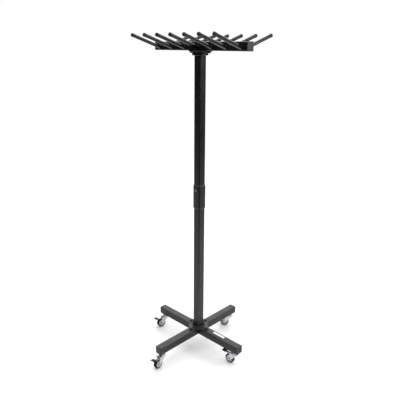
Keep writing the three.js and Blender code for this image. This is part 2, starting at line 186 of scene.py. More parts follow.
def edge_wear_and_highlight():
    """The coat on rounded edges: lighter, as a painted edge highlight, and glossier, with small chips
    down to the steel.
    """
    s = Shader("powder_coat_edge")
    chips = s.math(
        "MULTIPLY",
        s.span(s.noise(130, 6, 0.7), 0.60, 0.66),
        s.span(s.noise(14, 2), 0.48, 0.62),
    )
    # the edges' lighter tone is a painted highlight
    thin = s.mix(s.span(s.noise(60, 4), 0.35, 0.7), (0.006, 0.006, 0.0066), (0.016, 0.016, 0.017))
    s.set(Base_Color=s.mix(chips, thin, (0.33, 0.32, 0.31)))
    s.set(Metallic=s.math("MULTIPLY", chips, 0.9))
    s.set(Roughness=s.span(s.noise(200, 3), 0.3, 0.7, 0.24, 0.42))
    s.set(Coat_Weight=0.2, Coat_Roughness=0.18)
    s.bump((s.noise(750, 2, 0.4), 0.18, 0.2 * MM), (chips, 0.4, -0.08 * MM))
    return s.material


def rim_wear_and_highlight():
    """The sleeve's rims and its screw: pale grey patches that are a painted highlight, shown as coat
    rubbed through to grey steel.
    """
    s = Shader("rim_wear_and_highlight")
    # pale grey patches: painted highlight, given as coat rubbed through to steel
    bare_and_highlight = s.span(s.noise(90, 5, 0.65), 0.30, 0.55)
    s.set(Base_Color=s.mix(bare_and_highlight, (0.03, 0.03, 0.031), (0.24, 0.24, 0.235)))
    s.set(Metallic=s.math("MULTIPLY", bare_and_highlight, 0.35))
    s.set(Roughness=s.span(s.noise(260, 3), 0.3, 0.7, 0.26, 0.44))
    s.bump((s.noise(900, 3, 0.5), 0.2, 0.1 * MM))
    return s.material


def weld_bead():
    """Painted weld: the same coat, thicker and glossier over the ripples."""
    s = Shader("painted_weld")
    s.set(Base_Color=s.mix(s.noise(300, 4), (0.006, 0.006, 0.0065), (0.015, 0.015, 0.015)))
    s.set(Roughness=s.span(s.noise(420, 3), 0.3, 0.7, 0.24, 0.40), Coat_Weight=0.3)
    s.bump((s.noise(900, 4, 0.6), 0.35, 0.2 * MM))
    return s.material


def moulded_plastic(name, clean, scuffed):
    """Black injection-moulded plastic with a spark-eroded grain, scuffed paler in places."""
    s = Shader(name)
    scuff = s.span(s.noise(90, 6, 0.7, (1, 1, 3)), 0.55, 0.75)
    s.set(Base_Color=s.mix(scuff, clean, scuffed))
    s.set(Roughness=s.span(s.noise(60, 4), 0.3, 0.7, 0.46, 0.62))
    s.bump((s.noise(2400, 3, 0.6), 0.35, 0.08 * MM), (s.cells(5200), 0.2, 0.03 * MM))
    return s.material


def black_oxide():
    """Black-oxide steel of the bolts, rubbed brighter here and there."""
    s = Shader("black_oxide")
    rubbed = s.span(s.noise(260, 5, 0.65), 0.52, 0.72)
    s.set(Base_Color=s.mix(rubbed, (0.04, 0.04, 0.043), (0.26, 0.255, 0.25)), Metallic=0.85)
    s.set(Roughness=s.span(s.noise(500, 4), 0.3, 0.7, 0.28, 0.46))
    s.bump((s.noise(1500, 3), 0.2, 0.06 * MM))
    return s.material


def bright_zinc():
    """Bright zinc plate over pressed steel: soft spangle, faint drawing lines."""
    s = Shader("bright_zinc")
    spangle = s.span(s.cells(420), 0.1, 0.7)
    dull = s.span(s.noise(120, 5, 0.6), 0.45, 0.75)
    tone = s.mix(spangle, (0.70, 0.71, 0.73), (0.56, 0.58, 0.61))
    s.set(Base_Color=s.mix(dull, tone, (0.44, 0.45, 0.46)), Metallic=1.0)
    s.set(Roughness=s.span(s.noise(70, 5, 0.65), 0.3, 0.75, 0.20, 0.44))
    lines = s.noise(900, 2, 0.5, (1, 1, 0.12))
    s.bump((lines, 0.12, 0.05 * MM), (s.noise(2200, 2), 0.08, 0.02 * MM))
    return s.material


def grey_nylon():
    """Light grey moulded wheel centre, with patches of grime."""
    s = Shader("grey_nylon")
    grime = s.span(s.noise(210, 6, 0.7), 0.52, 0.78, 0.0, 0.45)
    s.set(Base_Color=s.mix(grime, (0.63, 0.64, 0.655), (0.36, 0.35, 0.335)))
    s.set(Roughness=s.span(s.noise(340, 3), 0.3, 0.7, 0.34, 0.52))
    s.set(Subsurface_Weight=0.06, Subsurface_Scale=1.5 * MM)
    s.bump((s.noise(1800, 3), 0.15, 0.05 * MM))
    return s.material


def tyre_rubber():
    """Black rubber with patches of grey dust."""
    s = Shader("tyre_rubber")
    pale_patches = s.span(s.noise(180, 6, 0.7), 0.5, 0.8, 0.0, 0.4)
    s.set(Base_Color=s.mix(pale_patches, (0.005, 0.005, 0.0052), (0.032, 0.031, 0.029)))
    s.set(Roughness=s.span(s.noise(260, 4), 0.3, 0.7, 0.66, 0.86), Specular_IOR_Level=0.3)
    s.bump((s.noise(1400, 4, 0.65), 0.4, 0.12 * MM), (s.cells(3200), 0.15, 0.04 * MM))
    return s.material


def sticker_vinyl():
    """Blank white vinyl label, very slightly yellowed and rubbed."""
    s = Shader("sticker_vinyl")
    s.set(Base_Color=s.mix(s.noise(70, 4), (0.80, 0.80, 0.79), (0.70, 0.69, 0.66)))
    s.set(Roughness=s.span(s.noise(150, 4), 0.3, 0.7, 0.30, 0.46), Coat_Weight=0.25)
    s.bump((s.noise(320, 3), 0.1, 0.06 * MM))
    return s.material


PAINT = powder_coat("powder_coat", 0.34, 0.50)
PEG_PAINT = powder_coat("peg_powder_coat", 0.20, 0.32)
# rounded edges: lighter as a painted highlight, with small worn chips
EDGE = edge_wear_and_highlight()
# sleeve rims and screw: pale grey painted highlight, given as worn coat
RIM_WEAR_AND_HIGHLIGHT = rim_wear_and_highlight()
WELD = weld_bead()
PLASTIC = moulded_plastic("moulded_plastic", (0.010, 0.010, 0.0107), (0.024, 0.024, 0.025))
# Lighter copy of the moulded plastic for the head bar's end caps: painted light for their lit end
# faces
BAR_CAP_PAINTED_LIGHT = moulded_plastic("bar_cap_painted_light", (0.040, 0.040, 0.042), (0.075, 0.075, 0.077))
OXIDE = black_oxide()
ZINC = bright_zinc()
NYLON = grey_nylon()
RUBBER = tyre_rubber()
VINYL = sticker_vinyl()


# ---- CAD nodes that stay -------------------------------------------------
def dress(node_name, material, edge=None, width=0.5 * MM):
    """Gives a CAD node its material, and rounds its sharp edges with a modifier."""
    node = NODES[node_name]
    node.data.materials.clear()
    node.data.materials.append(material)
    if edge:
        node.data.materials.append(edge)
    weld = node.modifiers.new("join_corners", "WELD")
    weld.merge_threshold = 0.01 * MM
    bevel = node.modifiers.new("soft_edges", "BEVEL")
    bevel.width = width
    bevel.segments = BEVEL_SEGMENTS
    bevel.limit_method = "ANGLE"
    bevel.angle_limit = math.radians(40)
    bevel.use_clamp_overlap = True
    if edge:
        bevel.material = 1


# ---- mesh helpers --------------------------------------------------------
def finish_piece(name, mesh, body, material, matrix=None, sharp=35, bevel=0.0, edge=None):
    """Links a mesh as a piece that rides on a CAD body."""
    piece = bpy.data.objects.new(name, mesh)
    scene.collection.objects.link(piece)
    if matrix is not None:
        mesh.transform(matrix)
    mesh.materials.append(material)
    if edge:
        mesh.materials.append(edge)
    for polygon in mesh.polygons:
        polygon.use_smooth = True
    mesh.set_sharp_from_angle(angle=math.radians(sharp))
    if bevel:
        modifier = piece.modifiers.new("soft_edges", "BEVEL")
        modifier.width = bevel
        modifier.segments = BEVEL_SEGMENTS
        modifier.limit_method = "ANGLE"
        modifier.angle_limit = math.radians(sharp)
        modifier.harden_normals = True
        if edge:
            modifier.material = 1
    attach(piece, body)
    return piece


def as_mesh(name, bm):
    bmesh.ops.recalc_face_normals(bm, faces=bm.faces)
    mesh = bpy.data.meshes.new(name)
    bm.to_mesh(mesh)
    bm.free()
    return mesh


def turned(name, profile, segments=64):
    """Solid of revolution about Z from (radius, height) points, axis to axis or closed."""
    bm = bmesh.new()
    rings = []
    for radius, height in profile:
        if radius < 1e-7:
            rings.append([bm.verts.new((0, 0, height))])
            continue
        angles = (2 * math.pi * i / segments for i in range(segments))
        rings.append(
            [bm.verts.new((radius * math.cos(a), radius * math.sin(a), height)) for a in angles]
        )
    pairs = list(zip(rings, rings[1:]))
    if len(rings[0]) > 1 and len(rings[-1]) > 1:
        pairs.append((rings[-1], rings[0]))
    for lower, upper in pairs:
        for i in range(segments):
            j = (i + 1) % segments
            corners = [lower[i % len(lower)], lower[j % len(lower)]]
            corners += [upper[j % len(upper)], upper[i % len(upper)]]
            unique = list(dict.fromkeys(corners))
            if len(unique) > 2:
                bm.faces.new(unique)
    return as_mesh(name, bm)


def prism(name, outline, low, high):
    """A solid with the outline's (x, y) points, from z = low to z = high."""
    bm = bmesh.new()
    bottom = [bm.verts.new((x, y, low)) for x, y in outline]
    top = [bm.verts.new((x, y, high)) for x, y in outline]
    bm.faces.new(reversed(bottom))
    bm.faces.new(top)
    count = len(outline)
    for i in range(count):
        j = (i + 1) % count
        bm.faces.new((bottom[i], bottom[j], top[j], top[i]))
    return as_mesh(name, bm)


def arc(cx, cy, radius, start, end, steps):
    """Points on an arc, angles in degrees, both ends included."""
    turns = (math.radians(start + (end - start) * i / steps) for i in range(steps + 1))
    return [(cx + radius * math.cos(t), cy + radius * math.sin(t)) for t in turns]


def hexagon(radius):
    """Corners of a hexagon, each at the radius from the middle."""
    return arc(0, 0, radius, 0, 300, 5)


def tube_along(name, path, radius_at, sides=10):
    """A bead along a closed path of Vectors, with its radius given for each point."""
    bm = bmesh.new()
    rings = []
    count = len(path)
    for i, point in enumerate(path):
        forward = (path[(i + 1) % count] - path[i - 1]).normalized()
        side = forward.cross(Vector((0, 0, 1)))
        side = side.normalized() if side.length > 1e-6 else Vector((1, 0, 0))
        up = side.cross(forward)
        radius = radius_at(i, point)
        rings.append(
            [
                bm.verts.new(point + radius * (math.cos(a) * side + math.sin(a) * up))
                for a in (2 * math.pi * k / sides for k in range(sides))
            ]
        )
    for i in range(count):
        j = (i + 1) % count
        for k in range(sides):
            n = (k + 1) % sides
            bm.faces.new((rings[i][k], rings[j][k], rings[j][n], rings[i][n]))
    return as_mesh(name, bm)


def merge(name, meshes):
    """One mesh from several, each kept as its own closed shell."""
    bm = bmesh.new()
    for mesh in meshes:
        bm.from_mesh(mesh)
        bpy.data.meshes.remove(mesh)
    merged = bpy.data.meshes.new(name)
    bm.to_mesh(merged)
    bm.free()
    return merged


def moved(mesh, matrix):
    mesh.transform(matrix)
    return mesh


ALONG_X = Matrix.Rotation(math.radians(90), 4, "Y")
ALONG_Y = Matrix.Rotation(math.radians(-90), 4, "X")


# ---- frame pieces --------------------------------------------------------
TUBE_CORNER = 4 * MM
TUBE_WALL = 1.5 * MM
SLEEVE = {"corner": 6 * MM, "wall": 2.6 * MM, "bevel": 1.25 * MM}
FOOT_COLLAR = {"corner": 6 * MM, "wall": 4.1 * MM, "bevel": 1.2 * MM}
HEAD_COLLAR = {"corner": 7 * MM, "wall": 8.1 * MM, "bevel": 2.6 * MM}
SMALLEST_CORNER = 0.3 * MM
CORNER_STEPS = 8


def rounded_rectangle(half_x, half_y, corner, steps):
    """Points round a rectangle with rounded corners, with steps + 1 points a corner."""
    outline = []
    for side_x, side_y, start in ((1, 1, 0), (-1, 1, 90), (-1, -1, 180), (1, -1, 270)):
        centre_x, centre_y = side_x * (half_x - corner), side_y * (half_y - corner)
        outline += arc(centre_x, centre_y, corner, start, start + 90, steps)
    return outline


def rounded_square(half, corner, steps=CORNER_STEPS):
    return rounded_rectangle(half, half, corner, steps)


def square_tube(name, half, corner, wall, low, high):
    """An open square tube along Z; its outer corners take the second material."""
    outer = rounded_square(half, corner)
    inner = rounded_square(half - wall, max(corner - wall, SMALLEST_CORNER))
    bm = bmesh.new()
    loops = []
    for outline, height in ((outer, low), (outer, high), (inner, high), (inner, low)):
        loops.append([bm.verts.new((x, y, height)) for x, y in outline])
    count = len(outer)
    for turn, (here, there) in enumerate(zip(loops, loops[1:] + loops[:1])):
        for i in range(count):
            j = (i + 1) % count
            face = bm.faces.new((here[i], here[j], there[j], there[i]))
            on_corner = i % (CORNER_STEPS + 1) < CORNER_STEPS
            face.material_index = 1 if turn == 0 and on_corner else 0
    return as_mesh(name, bm)


def add_tube(node_name, name, corner, wall, axis="Z", bevel=0.5 * MM, rim=None):
    """Replaces a CAD tube with one whose corners are smoothly rounded."""
    low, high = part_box(node_name)
    centre = (low + high) / 2
    spread = (high - low) / 2
    length = {"X": spread.x, "Y": spread.y, "Z": spread.z}[axis]
    half = {"X": spread.y, "Y": spread.x, "Z": spread.x}[axis]
    turn = {"X": ALONG_X, "Y": ALONG_Y, "Z": Matrix.Identity(4)}[axis]
    mesh = square_tube(name, half, corner, wall, -length, length)
    matrix = Matrix.Translation(centre) @ turn
    piece = finish_piece(
        name, mesh, "frame", PAINT, matrix, bevel=bevel, edge=EDGE
    )
    if rim:
        mesh.materials.append(rim)
        piece.modifiers["soft_edges"].material = 2
    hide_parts(node_name)


def dress_frame():
    """Clean tubes in place of the CAD's, and materials for the CAD pieces that stay."""
    add_tube("base_long_tube", "long_tube_skin", TUBE_CORNER, TUBE_WALL, "X")
    for side in PEG_SIDES:
        add_tube(f"base_short_tube_{side}", f"short_tube_skin_{side}", TUBE_CORNER, TUBE_WALL, "Y")
    add_tube("head_bar", "head_bar_skin", TUBE_CORNER, TUBE_WALL, "X")
    add_tube("lower_pole", "lower_pole_skin", TUBE_CORNER, TUBE_WALL)
    add_tube("upper_pole", "upper_pole_skin", TUBE_CORNER, TUBE_WALL)
    # the sleeve's rims take the pale grey painted highlight
    add_tube("coupling_sleeve", "sleeve_skin", **SLEEVE, rim=RIM_WEAR_AND_HIGHLIGHT)
    add_tube("foot_collar", "foot_collar_skin", **FOOT_COLLAR)
    add_tube("head_collar", "head_collar_skin", **HEAD_COLLAR)
    for name in ("hub_plate", "head_plate"):
        dress(name, PAINT, EDGE, 0.7 * MM)
    for arm in ARMS:
        dress(f"arm_end_cap_{arm}", PLASTIC, None, 0.8 * MM)
        dress(f"hub_bolt_{arm}", OXIDE, None, 0.6 * MM)
    for arm in ("xpos", "xneg"):
        # the bar's end caps take the lighter plastic, painted light for their lit end faces
        dress(f"bar_end_cap_{arm}", BAR_CAP_PAINTED_LIGHT, None, 0.8 * MM)
    # the set screw takes the pale grey painted highlight
    dress("sleeve_screw", RIM_WEAR_AND_HIGHLIGHT, None, 0.7 * MM)


RIPPLE_PITCH = 4  # steps of the bead's path from one swelling to the next


def rippled(radius, seed):
    """Radius of a weld bead that swells and dips evenly, and wavers a little."""
    swell, waver, wavers_per_metre = 0.09, 0.12, 260

    def radius_at(index, point):
        ripple = math.sin(2 * math.pi * index / RIPPLE_PITCH)
        wobble = noise.noise(point * wavers_per_metre + Vector((seed, 0, 0)))
        return radius * (1 + swell * ripple + waver * wobble)

    return radius_at


def square_path(half, corner, z, step):
    """Points about one step apart round a rounded square."""
    points = [Vector((x, y, z)) for x, y in rounded_square(half, corner, 6)]
    spaced = []
    for here, there in zip(points, points[1:] + points[:1]):
        pieces = max(1, round((there - here).length / step))
        spaced += [here.lerp(there, i / pieces) for i in range(pieces)]
    return spaced


def add_collar_welds():
    """A weld bead where each collar meets its plate."""
    stand_off, corner, step, bead_radius = 0.6 * MM, 6 * MM, 0.9 * MM, 2.3 * MM
    for collar, z, seed in (
        ("foot_collar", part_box("foot_collar")[0].z, 3),
        ("head_collar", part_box("head_collar")[1].z, 8),
    ):
        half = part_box(collar)[1].x
        path = square_path(half + stand_off, corner, z, step)
        mesh = tube_along(f"{collar}_weld", path, rippled(bead_radius, seed))
        finish_piece(f"{collar}_weld", mesh, "frame", WELD)


PEG_ANGLE = math.radians(17.5)
PEG_RADIUS = 8 * MM
PEG_TIP_RADIUS = 8.5 * MM
PEG_TIP_LENGTH = 13 * MM
PEG_TIP_ROUND = 3 * MM
PEG_TIP_OVERLAP = 2 * MM  # how far the rod runs into its plastic cap
PEG_TRIM = 0.15 * MM  # keeps the round cap inside the faceted one of the CAD
PEG_SEGMENTS = 40
PEG_ROOT_CHAMFER = 0.4 * MM
PEG_CAP_CHAMFER = 0.5 * MM
PEG_WELD_RADIUS = 1.7 * MM
PEG_WELD_LIFT = 0.2 * MM
PEG_WELD_GAP = 0.5 * MM
BAR_HALF = 20 * MM


def peg_frame(name):
    """Matrix that puts +Z along the CAD peg from its root, and the peg's length."""
    low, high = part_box(name)
    out = 1 if high.y + low.y > 0 else -1
    direction = Vector((0, out * math.cos(PEG_ANGLE), math.sin(PEG_ANGLE)))
    inner = min(abs(low.y), abs(high.y)) + PEG_RADIUS * math.sin(PEG_ANGLE)
    root = Vector(((low.x + high.x) / 2, out * inner, low.z + PEG_RADIUS * math.cos(PEG_ANGLE)))
    reach = max(abs(low.y), abs(high.y)) - inner
    length = reach / math.cos(PEG_ANGLE) - (PEG_TIP_RADIUS - PEG_TIP_ROUND) * math.tan(PEG_ANGLE)
    length -= PEG_TIP_ROUND * (1 / math.cos(PEG_ANGLE) - 1) + PEG_TRIM
    turn = direction.to_track_quat("Z", "X").to_matrix().to_4x4()
    return Matrix.Translation(root) @ turn, length, out


def add_peg(side, number):
    """A rod with a plastic cap on its tip and a weld bead at its root."""
    name = f"peg_{side}_{number}"
    matrix, length, out = peg_frame(name)
    cap_start = length - PEG_TIP_LENGTH
    rod_end = cap_start + PEG_TIP_OVERLAP
    rod = turned(
        name,
        [
            (0, 0),
            (PEG_RADIUS - PEG_ROOT_CHAMFER, 0),
            (PEG_RADIUS, PEG_ROOT_CHAMFER),
            (PEG_RADIUS, rod_end),
            (0, rod_end),
        ],
        PEG_SEGMENTS,
    )
    piece = finish_piece(f"peg_rod_{side}_{number}", rod, "frame", PEG_PAINT, matrix)
    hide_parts(name)
    tip_flat = PEG_TIP_RADIUS - PEG_TIP_ROUND
    cap = turned(
        f"{name}_cap",
        [
            (0, cap_start),
            (PEG_TIP_RADIUS - PEG_CAP_CHAMFER, cap_start),
            (PEG_TIP_RADIUS, cap_start + PEG_CAP_CHAMFER),
            *arc(tip_flat, length - PEG_TIP_ROUND, PEG_TIP_ROUND, 0, 90, 8),
            (0, length),
        ],
        PEG_SEGMENTS,
    )
    finish_piece(f"peg_cap_{side}_{number}", cap, "frame", PLASTIC, matrix)
    bead = peg_bead(name, matrix, out, number * out)
    finish_piece(f"peg_weld_{side}_{number}", bead, "frame", WELD)


def peg_bead(name, matrix, out, seed):
    """The bead round a peg's root: an ellipse on the bar's side face."""
    centre = matrix.translation
    axis = matrix.to_3x3() @ Vector((0, 0, 1))
    middle = centre + axis * (BAR_HALF - abs(centre.y)) / math.cos(PEG_ANGLE)
    half_wide = PEG_RADIUS + PEG_WELD_GAP
    half_tall = half_wide / math.cos(PEG_ANGLE)
    face = out * (BAR_HALF + PEG_WELD_LIFT)
    ring = []
    steps = 64
    for i in range(steps):
        turn = 2 * math.pi * i / steps
        x = middle.x + half_wide * math.cos(turn)
        z = middle.z + half_tall * math.sin(turn)
        ring.append(Vector((x, face, z)))
    return tube_along(f"{name}_weld", ring, rippled(PEG_WELD_RADIUS, seed), 8)


def add_head_bolts():
    """Hexagon bolts that hold the head plate to the bar, seen from below."""
    out, head_radius, head_height = 56 * MM, 7.5 * MM, 5.3 * MM
    washer_radius, washer_thick = 8.5 * MM, 1.6 * MM
    turn = 0.4  # radians, so that the two heads don't line up
    plate_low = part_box("head_plate")[0].z
    washer_low = plate_low - washer_thick
    for number, side in enumerate((-1, 1), 1):
        head = prism("head", hexagon(head_radius), washer_low - head_height, washer_low)
        washer = turned(
            "washer",
            [(0, washer_low), (washer_radius, washer_low), (washer_radius, plate_low), (0, plate_low)],
            48,
        )
        mesh = merge("head_bolt", [head, washer])
        matrix = Matrix.Translation((side * out, 0, 0)) @ Matrix.Rotation(side * turn, 4, "Z")
        finish_piece(
            f"head_bolt_{number}", mesh, "frame", OXIDE, matrix, bevel=0.5 * MM
        )


def add_label():
    """A blank white label on the +X arm's top, toward its +Y edge."""
    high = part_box("base_long_tube")[1]
    length, width, thick, corner = 76 * MM, 13 * MM, 0.15 * MM, 2 * MM
    middle, edge_gap, lift = 146 * MM, 9 * MM, 0.02 * MM
    mesh = prism("label", rounded_rectangle(length / 2, width / 2, corner, 5), 0, thick)
    centre = Matrix.Translation((middle, high.y - edge_gap - width / 2, high.z + lift))
    finish_piece("blank_label", mesh, "frame", VINYL, centre)


# ---- casters -------------------------------------------------------------
WHEEL_RADIUS = 25 * MM
TRAIL = 32 * MM
LEG_INNER = 10.8 * MM
LEG_THICK = 2.2 * MM
CROWN_LOW = 59 * MM
CROWN_HIGH = 62 * MM
CROWN_BACK = 28 * MM
PIN_BACK = 21 * MM
PIN_HEIGHT = 55.2 * MM
PIN_RADIUS = 1.7 * MM
LEVER_REACH = 54.2 * MM
LEVER_BEND = 27.5 * MM  # from the pin to the control point of the lever's curve
LEVER_ROOT_RISE = 1.2 * MM
LEVER_TIP_RISE = 7.4 * MM
LEVER_STEPS = 28
ROUND_STEPS = 96  # sides of the wheel's turned pieces


def caster_matrix(arm):
    """From the caster's own frame, wheel trailing to -X, to the row frame."""
    swivel = Vector(JOINTS[f"swivel_{arm}"]["pos_m"])
    wheel = Vector(JOINTS[f"roll_{arm}"]["pos_m"])
    heading = math.atan2(wheel.y - swivel.y, wheel.x - swivel.x)
    return Matrix.Translation((swivel.x, swivel.y, 0)) @ Matrix.Rotation(heading - math.pi, 4, "Z")


def wheel_matrix(arm):
    """From a frame whose Z is the axle to the row frame."""
    return caster_matrix(arm) @ Matrix.Translation((-TRAIL, 0, WHEEL_RADIUS)) @ ALONG_Y


def both_sides(profile):
    """A (radius, height) profile's mirror image below z = 0, then the profile itself."""
    return [(radius, -z) for radius, z in profile[::-1]] + profile


def add_tyre(arm):
    """Tyre with two grooves round its tread and a shallow recess round each sidewall."""
    half, shoulder, inner = 8.5 * MM, 3.5 * MM, 18.5 * MM
    groove_depth, groove_middle, mouth_half, floor_half = 0.5 * MM, 3 * MM, 0.6 * MM, 0.3 * MM
    recess_depth, recess_outer, recess_inner = 0.35 * MM, 21.2 * MM, 20 * MM
    lip_width, lip_drop = 0.6 * MM, 0.5 * MM
    profile = [
        (WHEEL_RADIUS, groove_middle - mouth_half),
        (WHEEL_RADIUS - groove_depth, groove_middle - floor_half),
        (WHEEL_RADIUS - groove_depth, groove_middle + floor_half),
        (WHEEL_RADIUS, groove_middle + mouth_half),
        *arc(WHEEL_RADIUS - shoulder, half - shoulder, shoulder, 0, 90, 8),
        (recess_outer, half - recess_depth),
        (recess_inner, half - recess_depth),
        (inner + lip_width, half),
        (inner, half - lip_drop),
    ]
    mesh = turned(f"tyre_{arm}", both_sides(profile), ROUND_STEPS)
    piece = finish_piece(
        f"tyre_{arm}", mesh, f"wheel_{arm}", RUBBER, wheel_matrix(arm), 40
    )
    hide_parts(f"caster_tyre_{arm}")


def add_core(arm):
    """Wheel centre: rim, recessed web with six ribs on each side, and hub boss."""
    rim, hub, bore = 18.3 * MM, 7.5 * MM, 3.1 * MM
    rim_half, web_half, hub_half = 8 * MM, 3 * MM, 10 * MM
    rim_edge, hub_edge = 0.5 * MM, 0.6 * MM
    rim_inner, rim_root, rim_fillet = rim - 2.2 * MM, rim - 3.2 * MM, 1.2 * MM
    hub_root, hub_fillet, web_inner = hub + 0.5 * MM, 1.0 * MM, hub + 1.6 * MM
    profile = [
        (rim, rim_half - rim_edge),
        (rim - rim_edge, rim_half),
        (rim_inner, rim_half),
        (rim_inner - hub_edge, rim_half - hub_edge),
        (rim_root, web_half + rim_fillet),
        (rim_root - rim_fillet, web_half),
        (web_inner, web_half),
        (hub_root, web_half + hub_fillet),
        (hub, hub_half - hub_edge),
        (hub - hub_edge, hub_half),
        (bore + hub_edge, hub_half),
        (bore, hub_half - hub_edge),
    ]
    parts = [turned("core", both_sides(profile), ROUND_STEPS)]
    ribs, rib_start, rib_end, rib_half = 6, 7 * MM, 15.6 * MM, 6.4 * MM
    thin, thick = 0.9 * MM, 1.1 * MM  # half a rib's thickness, at the hub and at the rim
    outline = [(rib_start, -thin), (rib_end, -thick), (rib_end, thick), (rib_start, thin)]
    for i in range(ribs):
        rib = prism("rib", outline, -rib_half, rib_half)
        parts.append(moved(rib, Matrix.Rotation(2 * math.pi * i / ribs, 4, "Z")))
    piece = finish_piece(
        f"wheel_core_{arm}",
        merge(f"core_{arm}", parts),
        f"wheel_{arm}",
        NYLON,
        wheel_matrix(arm),
        40,
        bevel=0.25 * MM,
    )
    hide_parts(f"caster_core_{arm}")


def add_axle(arm):
    """Hexagon bolt, washers and lock nut through the fork's legs."""
    out = LEG_INNER + LEG_THICK
    radius, tail = 3 * MM, 5 * MM
    hex_radius, washer_radius, washer_thick = 5.6 * MM, 6.4 * MM, 0.8 * MM
    hex_out = out + 3.9 * MM
    collar_radius, collar_out, collar_end_radius = 4.6 * MM, out + 4.6 * MM, 3.9 * MM
    shank = turned("shank", [(0, -out - tail), (radius, -out - tail), (radius, out), (0, out)], 32)
    head = prism("head", hexagon(hex_radius), out + washer_thick, hex_out)
    nut = prism("nut", hexagon(hex_radius), -hex_out, -out - washer_thick)
    collar = turned(
        "collar",
        [
            (0, -hex_out),
            (collar_radius, -hex_out),
            (collar_end_radius, -collar_out),
            (0, -collar_out),
        ],
        32,
    )
    parts = [shank, head, nut, collar]
    for side in (-1, 1):
        near, far = side * out, side * (out + washer_thick)
        parts.append(
            turned("washer", [(0, near), (washer_radius, near), (washer_radius, far), (0, far)], 40)
        )
    piece = finish_piece(
        f"axle_bolt_{arm}",
        merge(f"axle_{arm}", parts),
        f"fork_{arm}",
        ZINC,
        wheel_matrix(arm),
        bevel=0.35 * MM,
    )
    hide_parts(f"caster_axle_{arm}")


def leg_outline():
    """A fork leg in the caster's X and Z: wide at the crown, round about the axle."""
    axle_end = 8 * MM
    front_top, front_corner, corner_drop = 11 * MM, 12 * MM, 4 * MM
    bulge, bulge_drop = 1.5 * MM, 3 * MM
    lean = math.degrees(math.atan2(CROWN_LOW - WHEEL_RADIUS, TRAIL))
    return [
        (front_top, CROWN_HIGH),
        (-CROWN_BACK, CROWN_HIGH),
        (-CROWN_BACK - bulge, PIN_HEIGHT - bulge_drop),
        *arc(-TRAIL, WHEEL_RADIUS, axle_end, 180, 270 + lean, 16),
        (front_corner, CROWN_LOW - corner_drop),
    ]


def add_fork(arm):
    """Pressed fork: a crown that is round in front, and a leg on each side of the wheel."""
    crown_radius, crown_sink = 17 * MM, 0.2 * MM
    parts = []
    for side in (-1, 1):
        leg = prism("leg", leg_outline(), 0, LEG_THICK)
        upright = Matrix.Rotation(math.radians(90), 4, "X")
        y = side * LEG_INNER + (LEG_THICK if side > 0 else 0)
        parts.append(moved(leg, Matrix.Translation((0, y, 0)) @ upright))
    half = LEG_INNER + LEG_THICK
    crown = arc(0, 0, crown_radius, -90, 90, 24) + [(-CROWN_BACK, half), (-CROWN_BACK, -half)]
    parts.append(prism("crown", crown, CROWN_LOW, CROWN_HIGH - crown_sink))
    matrix = caster_matrix(arm)
    piece = finish_piece(
        f"fork_{arm}",
        merge(f"fork_{arm}", parts),
        f"fork_{arm}",
        ZINC,
        matrix,
        30,
        bevel=0.7 * MM,
    )
    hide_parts(f"caster_fork_{arm}")


def stem_profile(cover_high):
    """From the axis out and back to it: the kingpin's riveted head, race cover and stem."""
    rivet_top, rivet_thick, rivet_radius = 58.7 * MM, 2.6 * MM, 7 * MM
    rivet_flat, rivet_edge, dome_radius, dome_drop = 4.5 * MM, 0.6 * MM, 6.4 * MM, 1.8 * MM
    kingpin_radius = 4 * MM
    cover_low, cover_radius, cover_edge = 62.5 * MM, 16 * MM, 0.8 * MM
    wall_rise, shoulder_rise = 4.5 * MM, 6.4 * MM
    crest_radius, crest_drop, flat_radius = 13.4 * MM, 1.2 * MM, 11 * MM
    stem_radius, stem_end, stem_top, end_taper = 4.8 * MM, 4 * MM, 100 * MM, 1 * MM
    rivet = [
        (0, rivet_top - rivet_thick),
        (rivet_flat, rivet_top - rivet_thick),
        (dome_radius, rivet_top - dome_drop),
        (rivet_radius, rivet_top - rivet_edge),
        (rivet_radius, rivet_top),
        (kingpin_radius, rivet_top),
    ]
    cover = [
        (kingpin_radius, cover_low),
        (cover_radius - cover_edge, cover_low),
        (cover_radius, cover_low + cover_edge),
        (cover_radius, cover_low + wall_rise),
        (cover_radius - cover_edge, cover_low + shoulder_rise),
        (crest_radius, cover_high - crest_drop),
        (flat_radius, cover_high),
    ]
    stem = [
        (stem_radius, cover_high),
        (stem_radius, stem_top - end_taper),
        (stem_end, stem_top),
        (0, stem_top),
    ]
    return rivet + cover + stem


def add_stem(arm):
    """Stem with its hexagon flange, race cover and riveted kingpin."""
    cover_high, flange_high, flange_radius = 71 * MM, 73.7 * MM, 11 * MM
    body = turned("stem", stem_profile(cover_high), 64)
    flange = prism("flange", hexagon(flange_radius), cover_high, flange_high)
    piece = finish_piece(
        f"caster_stem_cover_{arm}",
        merge(f"stem_{arm}", [body, flange]),
        "frame",
        ZINC,
        caster_matrix(arm),
        40,
        bevel=0.3 * MM,
    )
    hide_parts(f"caster_stem_{arm}")


def lever_curve():
    """Points of the lever's upper face, from the pin to the tip, and their slopes."""
    start = Vector((-PIN_BACK, PIN_HEIGHT + LEVER_ROOT_RISE))
    control = Vector((-PIN_BACK - LEVER_BEND, PIN_HEIGHT + LEVER_ROOT_RISE))
    tip = Vector((-PIN_BACK - LEVER_REACH, PIN_HEIGHT + LEVER_TIP_RISE))
    made = []
    for i in range(LEVER_STEPS + 1):
        t = i / LEVER_STEPS
        point = start * (1 - t) ** 2 + control * (2 * t * (1 - t)) + tip * t**2
        slope = ((control - start) * (1 - t) + (tip - control) * t).normalized()
        made.append((point, slope))
    return made


